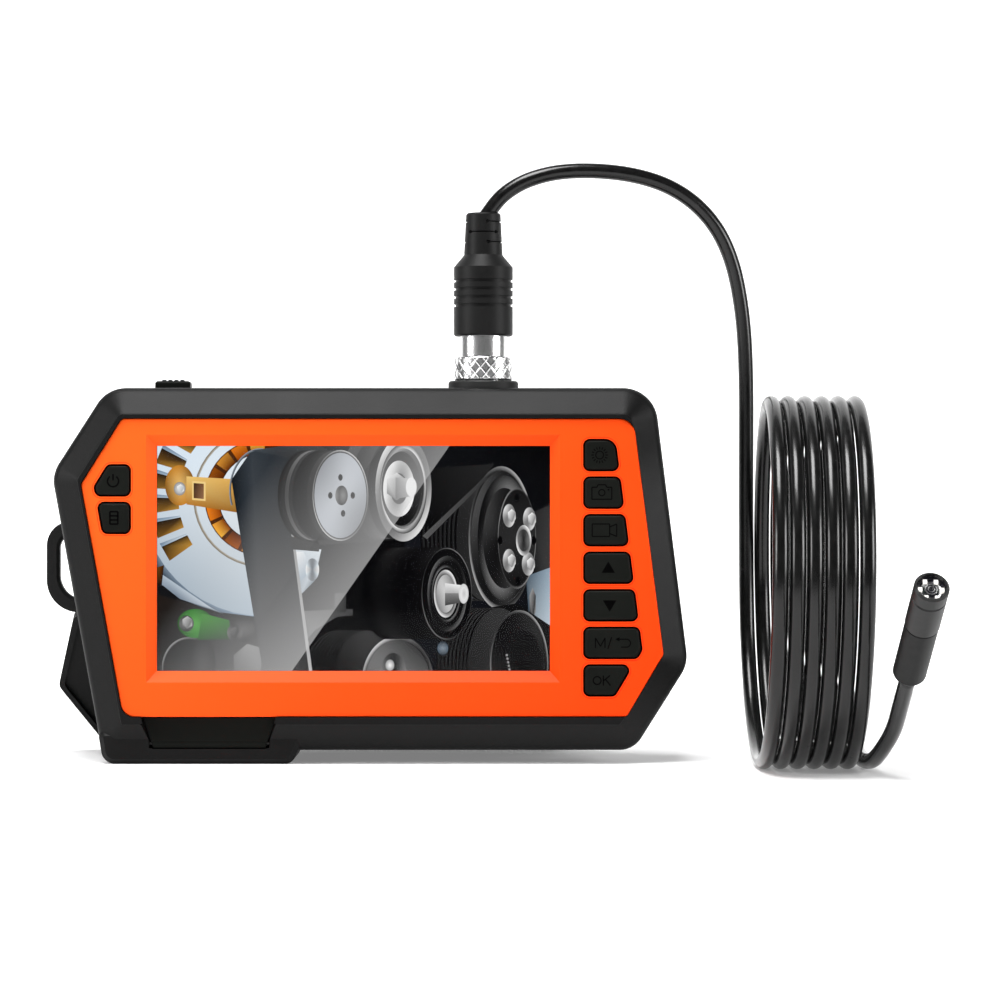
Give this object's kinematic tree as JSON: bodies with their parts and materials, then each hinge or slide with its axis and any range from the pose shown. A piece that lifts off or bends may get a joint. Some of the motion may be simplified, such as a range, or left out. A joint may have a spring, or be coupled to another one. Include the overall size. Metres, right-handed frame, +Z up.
{
  "type": "inspection camera",
  "caption": "Handheld inspection camera: upright screen unit with keys and kickstand, screw-lock plug and a coiled probe cable.",
  "frame": {"origin": "middle of the standing unit's box, on the table (free cord left out)", "axes": "+Z up; +X to the viewer's right; the screen looks along -Y"},
  "size_m": [0.2095, 0.1497, 0.1469],
  "materials": {
    "black_shell": "fine matte grain, textured ABS with a rubber-like coat",
    "orange_plate": "satin moulded orange",
    "key_rubber": "soft charcoal silicone",
    "stand_plastic": "fine matte grain",
    "ring_plastic": "satin",
    "pin_steel": "plain",
    "screw_steel": "dark zinc",
    "screen_glass": "polished cover lens",
    "lcd": "lit panel",
    "board": "green solder mask",
    "battery_wrap": "heat-shrink sleeve",
    "foam_tape": "foam",
    "chip": "moulded epoxy",
    "port_metal": "tinned",
    "chrome": "bright nickel plate",
    "brass_pins": "gold flash",
    "insulator": "moulded nylon",
    "boot_rubber": "satin black",
    "cable_jacket": "glossy black PVC",
    "probe_black": "satin black",
    "probe_steel": "black-coated steel",
    "lens": "coated lens",
    "led": "white LED"
  },
  "bodies": {
    "root": {"battery_pack": "battery_wrap", "battery_tape": "foam_tape", "board_screws": "screw_steel", "cable_coil": "cable_jacket", "cable_tail": "cable_jacket", "camera_module": "chip", "card_slot": "port_metal", "face_plate": "orange_plate", "front_housing": "black_shell", "housing_screws": "screw_steel", "key_switches": "chip", "kickstand_pin": "pin_steel", "lcd_panel": "lcd", "led_board": "board", "main_board": "board", "port_board": "board", "port_cover_pin": "pin_steel", "probe_barrel": "probe_steel", "probe_cap": "probe_steel", "probe_leds": "led", "probe_sleeve": "probe_black", "probe_window": "lens", "processor": "chip", "rear_cover": "black_shell", "ring_pin": "pin_steel", "screen_glass": "screen_glass", "socket_body": "chrome", "socket_core": "insulator", "socket_ring_nut": "chrome", "socket_washer": "boot_rubber", "switch_body": "chip", "usb_port": "port_metal"},
    "plug": {"plug_sleeve": "chrome", "plug_core": "insulator", "plug_pins": "brass_pins", "plug_boot": "boot_rubber", "cable_lead": "cable_jacket"},
    "lock_nut": {"lock_nut": "chrome"},
    "slide_knob": {"slide_knob": "key_rubber"},
    "kickstand": {"kickstand": "stand_plastic"},
    "lanyard_ring": {"lanyard_ring": "ring_plastic"},
    "port_cover": {"port_cover": "key_rubber"},
    "key_power": {"key_power": "key_rubber"},
    "key_menu": {"key_menu": "key_rubber"},
    "key_light": {"key_light": "key_rubber"},
    "key_photo": {"key_photo": "key_rubber"},
    "key_video": {"key_video": "key_rubber"},
    "key_up": {"key_up": "key_rubber"},
    "key_down": {"key_down": "key_rubber"},
    "key_return": {"key_return": "key_rubber"},
    "key_ok": {"key_ok": "key_rubber"}
  },
  "joints": [
    {"name": "press_power", "type": "slide", "parent": "root", "child": "key_power", "axis": [0, 1, 0], "range_m": [0, 0.0008], "stiffness_N_per_m": 500, "springref_m": -0.0006},
    {"name": "press_menu", "type": "slide", "parent": "root", "child": "key_menu", "axis": [0, 1, 0], "range_m": [0, 0.0008], "stiffness_N_per_m": 500, "springref_m": -0.0006},
    {"name": "press_light", "type": "slide", "parent": "root", "child": "key_light", "axis": [0, 1, 0], "range_m": [0, 0.0008], "stiffness_N_per_m": 500, "springref_m": -0.0006},
    {"name": "press_photo", "type": "slide", "parent": "root", "child": "key_photo", "axis": [0, 1, 0], "range_m": [0, 0.0008], "stiffness_N_per_m": 500, "springref_m": -0.0006},
    {"name": "press_video", "type": "slide", "parent": "root", "child": "key_video", "axis": [0, 1, 0], "range_m": [0, 0.0008], "stiffness_N_per_m": 500, "springref_m": -0.0006},
    {"name": "press_up", "type": "slide", "parent": "root", "child": "key_up", "axis": [0, 1, 0], "range_m": [0, 0.0008], "stiffness_N_per_m": 500, "springref_m": -0.0006},
    {"name": "press_down", "type": "slide", "parent": "root", "child": "key_down", "axis": [0, 1, 0], "range_m": [0, 0.0008], "stiffness_N_per_m": 500, "springref_m": -0.0006},
    {"name": "press_return", "type": "slide", "parent": "root", "child": "key_return", "axis": [0, 1, 0], "range_m": [0, 0.0008], "stiffness_N_per_m": 500, "springref_m": -0.0006},
    {"name": "press_ok", "type": "slide", "parent": "root", "child": "key_ok", "axis": [0, 1, 0], "range_m": [0, 0.0008], "stiffness_N_per_m": 500, "springref_m": -0.0006},
    {"name": "slide_switch", "type": "slide", "parent": "root", "child": "slide_knob", "axis": [1, 0, 0], "range_m": [0, 0.0025]},
    {"name": "unplug", "type": "slide", "parent": "root", "child": "plug", "axis": [0, 0, 1], "range_m": [0, 0.012], "deforming": ["cable_lead"]},
    {"name": "lock_nut_turn", "type": "hinge", "parent": "plug", "child": "lock_nut", "pos_m": [0.02935, -0.01329, 0.096], "axis": [0, 0, 1], "continuous": true},
    {"name": "stand_fold", "type": "hinge", "parent": "root", "child": "kickstand", "pos_m": [0.00185, 0.00231, 0.042], "axis": [1, 0, 0], "range_deg": [-30, 0]},
    {"name": "ring_swing", "type": "hinge", "parent": "root", "child": "lanyard_ring", "pos_m": [-0.06835, -0.00329, 0.0474], "axis": [0, 0, 1], "range_deg": [-90, 0]},
    {"name": "port_cover_open", "type": "hinge", "parent": "root", "child": "port_cover", "pos_m": [-0.03695, -0.02409, 0.005], "axis": [1, 0, 0], "range_deg": [0, 90]}
  ]
}
